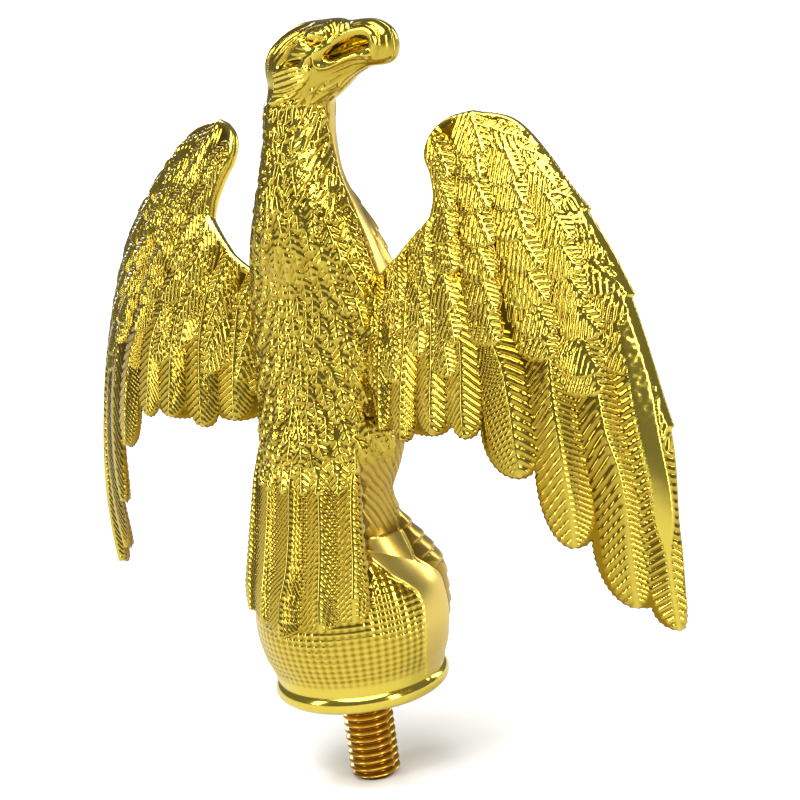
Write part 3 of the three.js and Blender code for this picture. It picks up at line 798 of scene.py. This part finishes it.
def patch(loop, soften):
    """How far inside a closed loop on the cheek each point is, from 0 at its edge to 1."""
    line = evenly(curve_through(list(loop) + [loop[0]], 8), 0.25)
    out = np.zeros(len(points))
    near = np.flatnonzero(((cheek > line.min(0)) & (cheek < line.max(0))).all(1) & on_head)
    near = near[inside_outline(cheek[near], line[:-1])]
    if len(near):
        out[near] = smooth(0, soften, distance_to(cheek[near], line))
    return out


# Wrinkles over the crown and behind the eye.
carve(
    0.42, -0.75,
    [(2, 157), (-1, 160), (-4.5, 162.4), (-9, 164.2), (-14, 164.8)],
    [(0.5, 156.5), (-2.5, 159.3), (-6, 161.8), (-10, 163.5), (-14, 164)],
    [(-1, 155.8), (-4, 158.2), (-6, 160.2), (-9, 162.2), (-13, 163.6)],
    [(3.6, 155.2), (2.8, 158.2), (0, 161.2), (-4, 163.5), (-9, 165)])
carve(
    0.4, -0.6,
    [(-1.2, 155.2), (-3.6, 157.3), (-5.2, 159.4), (-6.8, 160.9)],
    [(4.6, 152.5), (4, 156), (1.8, 159.4)])

# The eye: a groove under the brow, the brow, the lid, and folds below.
carve(0.5, -0.9, [(-8.5, 162.6), (-10, 161.2), (-12.2, 160.8), (-14.6, 161.5)])
carve(0.7, 0.55, [(-8.2, 163.4), (-11, 163.9), (-14, 163.9), (-16, 163)])
carve(0.75, 1.0, [(-10.6, 162.2), (-11.6, 162.5), (-12.6, 162.5), (-13.4, 162.2)], fade=False)
carve(
    0.4, 0.5,
    [(-5.6, 160.8), (-8.8, 159.8), (-11.8, 159.5), (-14.2, 159.9)],
    [(-5, 159.2), (-8.6, 158.6), (-11.4, 158.5), (-14, 158.9)],
    [(-6.6, 162), (-8.2, 160.9), (-10.4, 160.3)])

# The hollow behind the cheek, and the cheek's edge.
face -= 1.3 * patch(
    [(-2, 155.4), (-4, 156.8), (-7, 157.3), (-9.4, 157.1), (-7.6, 156), (-5, 155.6)], 0.7)
carve(0.5, 0.6, [(-9.4, 154.8), (-9.7, 156.4), (-11.2, 157.7), (-12.8, 158.3), (-15, 159.5)])
carve(0.35, -0.7, [(-10.1, 153.6), (-10.6, 155.6), (-11.6, 157.0)])

# The open mouth with its tongue, the lips, and the folds of the lower jaw.
mouth = [
    (-14.2, 156.4), (-14.2, 157.6), (-16, 159.2), (-18.4, 160.7), (-21.2, 161.7), (-24.2, 161.9),
    (-26, 161.2), (-26.6, 160), (-26.2, 158.8), (-24.6, 158.3), (-22.2, 157.8), (-19.2, 157.1),
    (-16.4, 156.2),
]
face -= 2.1 * patch(mouth, 1.1)
carve(
    0.3, 0.6,
    [(-16, 157.6), (-20, 159.2), (-25, 160)],
    [(-17.5, 158.9), (-21, 160.4), (-25, 160.9)])
carve(0.62, 0.95, [
    (-13, 158.9), (-12.2, 157.2), (-12.6, 155.4), (-14.6, 155), (-17, 155.7), (-19.6, 156.6),
    (-22.4, 157.2), (-24.6, 157.4), (-26.2, 157.2)])
carve(0.9, 0.6, [(-24.6, 157.3), (-25.4, 157.1)], fade=False)
carve(0.55, 0.7, [
    (-14.4, 158.8), (-17.4, 161.2), (-21, 162.6), (-25, 162.8), (-27, 161.6), (-27.5, 159.6),
    (-27.2, 157.8)])
carve(0.4, -0.45, [
    (-20, 163.6), (-24, 164), (-27.6, 162.6), (-28.6, 160.4), (-28.4, 157.8), (-27.4, 155.6)])
carve(0.35, -0.5, [(-12.5, 153.9), (-15, 154.1), (-18, 155), (-21.6, 155.7), (-24.5, 155.6)])
carve(0.35, -0.4, [(-13.2, 152.8), (-15.6, 153), (-18, 153.7), (-21, 154.6), (-24, 154.6)])

# Wrinkled skin above the beak.
carve(
    0.33, -0.6,
    [(-14.2, 165), (-16, 163.9), (-16.8, 162.2), (-16.2, 160.4)],
    [(-16.6, 165), (-17.6, 163.4), (-17.6, 161.8)],
    [(-18.2, 164.8), (-19, 163.2), (-19, 162)],
    [(-19.8, 164.6), (-20.4, 163.4), (-20.2, 162.6)])

# The tuft of feathers on the cheek.
tuft = patch([
    (0.2, 154.6), (-4, 155.6), (-7.6, 156), (-10.3, 155.6), (-10.6, 153.4), (-8.6, 151.2),
    (-6, 149.5), (-2.6, 147.8), (2.8, 146.6), (1.4, 149.8), (0.4, 152.2)], 0.45)
face += 1.1 * tuft
carve(
    0.3, -0.75,
    [(0.2, 153.4), (-4, 154.3), (-7.4, 154.9), (-10.1, 155)],
    [(0.2, 152.3), (-4.2, 153.3), (-8, 153.9), (-10.6, 154)],
    [(0.6, 150.9), (-4, 151.8), (-7.8, 152.7), (-10.5, 153.2)],
    [(1, 149.5), (-4, 150.4), (-7.2, 151.4), (-9.9, 152.2)],
    [(1.8, 148.2), (-3.2, 149.2), (-6.4, 150.2), (-8.6, 151.2)])

# Feathers stop at the jaw line. All relief goes out along the skin, and the parting shows as a
# fine groove. Breast, legs and feet are satin, the rest is bright.
SEAM_WIDTH = 0.22
SEAM_DEPTH = 0.18
jaw_line = np.interp(
    x, [-24, -18, -14, -10, -6, -2, 3, 8], [155, 153.2, 151.6, 150.6, 149, 147.2, 146.5, 147])
head_share = smooth(-0.9, 0.9, z - jaw_line)
head_share = np.maximum(head_share, np.clip(tuft * 2, 0, 1))
height = height * (1 - head_share)
# The grooves of the body feathers and the sunk parts of the head, such as the open mouth and the
# eye, take the darker hollow colour as painted shade; raised parts of the head go lighter.
body_shade = np.where(head_share > 0.5, 0.35 - 0.45 * face, 1 - (height + 0.1) / 1.25)
body_shade = np.clip(body_shade, 0, 1)
body_shade[(height == 0) & (head_share < 0.5)] = 0.15
move = (height - 0.45) * (height != 0) * (1 - head_share) + face * head_share
move -= SEAM_DEPTH * np.exp(-((behind / SEAM_WIDTH) ** 2))
points = points + normals * move[:, None]
skin.vertices.foreach_set("co", (points * MM).astype(np.float32).ravel())
dip = skin.attributes.new("recess_shade", "FLOAT", "POINT")
dip.data.foreach_set("value", body_shade.astype(np.float32))
skin.polygons.foreach_set("use_smooth", np.ones(len(skin.polygons), bool))
skin.update()
skin.materials.clear()
skin.materials.append(gold)
skin.materials.append(satin_gold)
corners = np.zeros(len(skin.polygons) * 4, np.int32)
skin.polygons.foreach_get("vertices", corners)
first_corner = corners.reshape(-1, 4)[:, 0]
satin = ((behind < 0) | ((z < 61) & (y < 10)))[first_corner] & (head_share < 0.3)[first_corner]
skin.polygons.foreach_set("material_index", satin.astype(np.int32))

shells = (("body_back", 1, "rear_body_shell"), ("body_front", -1, "front_body_shell"))
for name, facing, shell in shells:
    half = bpy.data.objects.new(name, skin.copy())
    bpy.context.scene.collection.objects.link(half)
    bpy.ops.object.select_all(action="DESELECT")
    half.select_set(True)
    bpy.context.view_layer.objects.active = half
    bpy.ops.object.mode_set(mode="EDIT")
    bpy.ops.mesh.select_all(action="SELECT")
    bpy.ops.mesh.bisect(
        plane_co=(0, 0, 0), plane_no=(0, 1, PARTING_LEAN), use_fill=True,
        clear_inner=facing > 0, clear_outer=facing < 0)
    bpy.ops.object.mode_set(mode="OBJECT")
    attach(half, "root")
    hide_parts(shell)
bpy.data.objects.remove(figure)

# ---- Tail ----
# The tail is a curved fan of five long feathers of plated ABS, moulded with the back half. Their
# ends rest on the ball, and their quills are thin raised lines with fine barbs on both sides.
# Each level of the fan: height, half width, and how far back its edge and its middle lie.
tail_fan = [
    (21, 12, 19.6, 26.0), (25, 18.6, 18, 25.4), (31, 19.2, 17, 24), (39, 18.2, 15.6, 21.4),
    (48, 17.4, 13.8, 19), (57, 16.8, 11.4, 17.2), (68, 15, 7.5, 13),
]
# Each tail feather: its quill, then half width, barb pitch and barb sweep of each vane.
tail_quills = [
    ([(15.2, 66), (15.6, 52), (16.4, 38), (16.6, 21)], (5.6, 1.4, 1.2), (5.6, 1.4, 1.2)),
    ([(-15.2, 66), (-15.6, 52), (-16.4, 38), (-16.6, 21)], (5.6, 1.4, 1.2), (5.6, 1.4, 1.2)),
    ([(7.6, 68), (8.2, 52), (8.8, 36), (9.6, 18)], (5.8, 1.4, 1.3), (5.8, 1.4, 1.3)),
    ([(-7.6, 68), (-8.2, 52), (-8.8, 36), (-9.2, 18)], (5.8, 1.4, 1.3), (5.8, 1.4, 1.3)),
    ([(0, 68), (0, 52), (0.4, 38), (1.6, 30), (2.4, 17)], (7.4, 1.4, 1.2), (7.2, 1.4, 1.2)),
]
TAIL_SINK = 5
TAIL_PLATE = 0.7
TAIL_MIDDLE = 1.3
TAIL_ROUNDING = 0.9
tail_curve = np.array(tail_fan, float)


def tail_depth(x, z):
    """How far back the tail's outer face lies."""
    width, edge, middle = (np.interp(z, tail_curve[:, 0], tail_curve[:, k]) for k in (1, 2, 3))
    return edge + (middle - edge) * np.cos(np.clip(np.abs(x) / width, 0, 1.2) * np.pi / 2)


tail_side = [(15.2, 67), (17, 57), (17.8, 48), (18.8, 39), (19.8, 31), (19.7, 27.5)]
tail_ends = [
    (19.7, 27.5), (18.4, 25.4), (16.2, 24.6), (13.8, 25), (12.6, 24.2), (9.6, 22.6), (7, 23.4),
    (5.6, 22.6), (2.6, 21), (-0.6, 21.8), (-3.2, 23), (-5.4, 23), (-8.8, 22.6), (-12, 23.8),
    (-13.6, 25), (-16.2, 24.6), (-18.4, 25.4), (-19.7, 27.5),
]
tail_outline = np.vstack([
    evenly(curve_through(tail_side), EDGE_STEP)[:-1],
    evenly(curve_through(tail_ends), EDGE_STEP)[:-1],
    evenly(curve_through([(-x, z) for x, z in tail_side[::-1]]), EDGE_STEP),
    evenly([(-15.2, 67), (15.2, 67)], 2 * EDGE_STEP)[1:-1],
])
plan, faces = net_over(lattice((-21, 19), (21, 68), 0.28), tail_outline, 0.16)
tail_height = np.zeros(len(plan))
for quill, right_vane, left_vane in tail_quills:
    quill = evenly(curve_through(quill), QUILL_STEP)
    lay_feather(
        tail_height, plan, quill, 0.86, (right_vane, left_vane),
        rise=0.5, crown=0.5, barb=0.75, blunt=0.9, base=0.05, quill_width=0.3)

# Two rows of small coverts lie over the roots of the tail feathers.
COVERT_HALF = 4.6
for k, level_z in enumerate(np.arange(64, 56, -4.0)):
    for across_x in np.arange(-15 + (k % 2) * 2.4, 15.5, 4.8):
        lean = math.radians(np.clip(across_x * 0.9, -14, 14) + draw.uniform(-12, 12))
        d = np.array([math.sin(lean), -math.cos(lean)])
        middle = np.array([across_x, level_z]) + draw.uniform(-0.6, 0.6, 2)
        quill = [middle - d * COVERT_HALF, middle, middle + d * COVERT_HALF]
        lay_feather(
            tail_height, plan, quill, 0.5, ((2.7, 1.7, 1.1), (2.7, 1.7, 1.0)),
            rise=0.5, crown=0.3, barb=0.75, base=0.5, quill_width=0.15, quill_height=0.1)

# The fan's back is sunk into the body and the ball.
rim = len(tail_outline)
tx, tz = plan.T
n = normal_of(tail_depth, tx, tz)
edge = np.concatenate([np.zeros(rim), distance_to(plan[rim:], tail_outline)])
share = np.sqrt(1 - (1 - np.clip(edge / TAIL_ROUNDING, 0, 1)) ** 2)
middle = np.stack([tx, tail_depth(tx, tz), tz], 1) - n * TAIL_MIDDLE
outer = middle + n * (share * (TAIL_PLATE + tail_height))[:, None]
inner_plan, inner_faces = net_over(lattice((-21, 19), (21, 68), 2.0), tail_outline, 0.9)
ix, iz = inner_plan[rim:].T
inner = np.stack([ix, tail_depth(ix, iz) - TAIL_SINK, iz], 1)
shifted = np.where(inner_faces < rim, inner_faces, inner_faces + len(plan) - rim)
# The low parts between the tail's barbs and feathers take the darker hollow colour: painted shade.
tail_shade = np.concatenate([np.clip(1 - tail_height / 1.35, 0, 1), np.zeros(len(inner))])
tail = new_piece(
    "tail_fan", np.vstack([outer, inner]), [faces, shifted[:, ::-1]], tail_shade)
tail.data.materials.append(gold)
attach(tail, "root")

# ---- Ball and seat ring ----
# The eagle stands on a ball with a knurled skin, over a plain polished ring. Both are plated ABS,
# moulded with the two body halves, whose joint shows as a fine line across the ring. The profile
# runs from the ring up to the ankles.
ball_outline = [
    (21.2, 5.4), (21.9, 8.5), (23.2, 12), (24.2, 17), (24.4, 21), (23.8, 26), (22.3, 30.5),
    (19.4, 35), (15, 39), (8.5, 42.2), (0.6, 43.5),
]
KNURL_ACROSS = 2.0
KNURL_UP = 1.55
BALL_STEP = 0.36
around = 420
profile = evenly(curve_through(ball_outline), BALL_STEP)
bearing = np.linspace(0, 2 * np.pi, around, endpoint=False)
radius, level = profile[:, 0][:, None], profile[:, 1][:, None]
run = np.arange(len(profile))[:, None] * BALL_STEP
repeats = round(2 * np.pi * 24 / KNURL_ACROSS)
turn_phase = bearing[None, :] * repeats / (2 * np.pi)
climb = run / KNURL_UP
bead = np.cos(np.pi * (turn_phase + climb)) * np.cos(np.pi * (turn_phase - climb))
fade = smooth(1.0, 3.5, run) * (1 - smooth(33, 38, level))

# The front of the ball is covered by the smooth back of the feet, with a raised edge on each side.
foot_edge = np.interp(
    level, [6.4, 13, 19.6, 24.5, 28, 30.7, 33, 37, 41], [1.4, 3.3, 3.1, 2.5, 3, 5.2, 7.4, 8.5, 9])
from_front = radius * np.sin(bearing)[None, :]
foot_cover = (1 - smooth(-0.5, 0.2, from_front - foot_edge)) * smooth(4, 8, level)
foot_side = foot_cover * smooth(-12, -8, from_front)
bare = 1 - foot_cover
knurl_depth = 0.22 + 0.1 * np.sin(bearing * 5 + level * 0.3)
relief = knurl_depth * np.clip(bead, -0.5, 1) * fade * bare + 0.5 * foot_side
seam = np.exp(-((from_front + PARTING_LEAN * level) / SEAM_WIDTH) ** 2)
reach = radius + relief - SEAM_DEPTH * seam * bare - 1.0 * (foot_cover - foot_side)


def turned(reach, level, bearing):
    """Rings of points at the given reach from the upright axis, and the given heights."""
    level = np.broadcast_to(level, reach.shape)
    return np.stack([reach * np.cos(bearing), reach * np.sin(bearing), level], -1)


# Under the ball the skin turns in over the ring and up the bore: radius and height of each ring.
bore = np.array([(15.3, 9.5), (15.3, 0.5), (19.4, 0.2), (20.6, 3.4)])
bore_reach = np.repeat(bore[:, :1], around, axis=1)
rows = np.concatenate([turned(bore_reach, bore[:, 1:], bearing), turned(reach, level, bearing)])
# Between the knurl beads the colour goes darker: painted shade.
knurl_shade = np.clip(0.35 - bead * 0.6, 0, 1) * fade * bare
ball = loft("knurled_ball", rows, np.concatenate([np.zeros_like(bore_reach), knurl_shade]).ravel())
ball.data.materials.append(gold)
ball.data.materials.append(satin_gold)
on_foot = np.concatenate([np.zeros_like(bore_reach), foot_cover])[:-1].ravel() > 0.5
finish = np.concatenate([on_foot, [False, False]]).astype(np.int32)
ball.data.polygons.foreach_set("material_index", finish)
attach(ball, "root")

# The ring is plain and polished, nicked where the parting crosses it.
RING_RADIUS = 19.4
RING_TUBE = 2.5
NICK = 0.06
NICK_WIDTH = 0.2
bpy.ops.object.select_all(action="DESELECT")
bpy.ops.mesh.primitive_torus_add(
    major_radius=RING_RADIUS * MM, minor_radius=RING_TUBE * MM,
    major_segments=360, minor_segments=40, location=(0, 0, RING_TUBE * MM))
ring = bpy.context.object
ring.name = "seat_ring"
bpy.ops.object.transform_apply(location=True, rotation=True, scale=True)
for vertex in ring.data.vertices:
    off = (vertex.co.y / MM + PARTING_LEAN * vertex.co.z / MM) / NICK_WIDTH
    flat = Vector((vertex.co.x, vertex.co.y, 0)).normalized() * RING_RADIUS * MM
    flat.z = RING_TUBE * MM
    vertex.co = flat + (vertex.co - flat) * (1 - NICK * math.exp(-off * off))
bpy.ops.object.shade_smooth()
ring.data.materials.append(gold)
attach(ring, "root")

# ---- Stud, plug, nut and washer ----
# A half-inch steel stud with thirteen threads to the inch is clamped to a plug in the ball by a nut
# and washer; dowels locate the wings and the two halves. The rolled thread is brass-plated steel:
# more orange and duller than the figure, and browner in its roots as painted shade.
brass = gold_plating("brass_plated_thread", "#DDB24C", "#8E6414", 0.24, 1.2, 0.5)
stud_low, stud_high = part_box("threaded_stud")
CREST = 6.35
ROOT = 5.2
PITCH = 25.4 / 13
POINT_LENGTH = 1.3
THREAD_STEP = 0.13
low, high = stud_low.z / MM, stud_high.z / MM
levels = np.arange(low, high + 0.01, THREAD_STEP)[:, None]
bearing = np.linspace(0, 2 * np.pi, 96, endpoint=False)
phase = levels / PITCH - bearing[None, :] / (2 * np.pi)
tooth = np.abs(2 * (phase - np.floor(phase)) - 1)
plain = smooth(-1.2, -0.3, levels)
threaded = smooth(0.08, 0.92, tooth) * (1 - plain) + plain * 0.85
start = np.clip((levels - low) / POINT_LENGTH, 0, 1)
reach = ROOT + (CREST - ROOT) * threaded * start - 0.4 * (1 - start)
# The thread roots take the browner hollow colour: painted shade.
stud = loft("half_inch_stud", turned(reach, levels, bearing), (1 - threaded).ravel())
stud.data.materials.append(brass)
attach(stud, "root")
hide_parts("threaded_stud")

# The plug is satin-plated ABS like the figure, seen only from below.
plug_gold = gold_plating("satin_gold_plug", "#D8C04E", "#8A6A10", 0.32, 0.8, 0.5)

# The nut and washer are brass-plated steel, barrel-plated: dull, with a fine unevenness.
hardware = gold_plating("brass_plated_hardware", "#D89A34", "#7E4A10", 0.34, 0.6, 0.6)

# The dowels are unplated natural ABS, moulded: creamy, half matt, with a faint cloudiness about a
# millimetre across.
peg = bpy.data.materials.new("natural_abs_dowel")
peg.use_nodes = True
peg_tree = peg.node_tree
peg_place = node(peg_tree, "ShaderNodeTexCoord")
peg_skin = peg_tree.nodes["Principled BSDF"]
peg_cloud = node(peg_tree, "ShaderNodeTexNoise", {
    "Vector": peg_place.outputs["Object"], "Scale": 900.0, "Detail": 3.0})
peg_tone = node(peg_tree, "ShaderNodeMix", {
    "Factor": peg_cloud.outputs["Fac"], 6: linear("#E6E0CC"), 7: linear("#D6CDB2")},
    data_type="RGBA")
peg_tree.links.new(peg_tone.outputs[2], peg_skin.inputs["Base Color"])
peg_skin.inputs["Roughness"].default_value = 0.5

for name, paint in (("base_plug", plug_gold), ("stud_nut", hardware), ("stud_washer", hardware)):
    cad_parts[name].data.materials.clear()
    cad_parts[name].data.materials.append(paint)
for name, cad_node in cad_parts.items():
    if name.endswith("_dowel"):
        cad_node.data.materials.clear()
        cad_node.data.materials.append(peg)
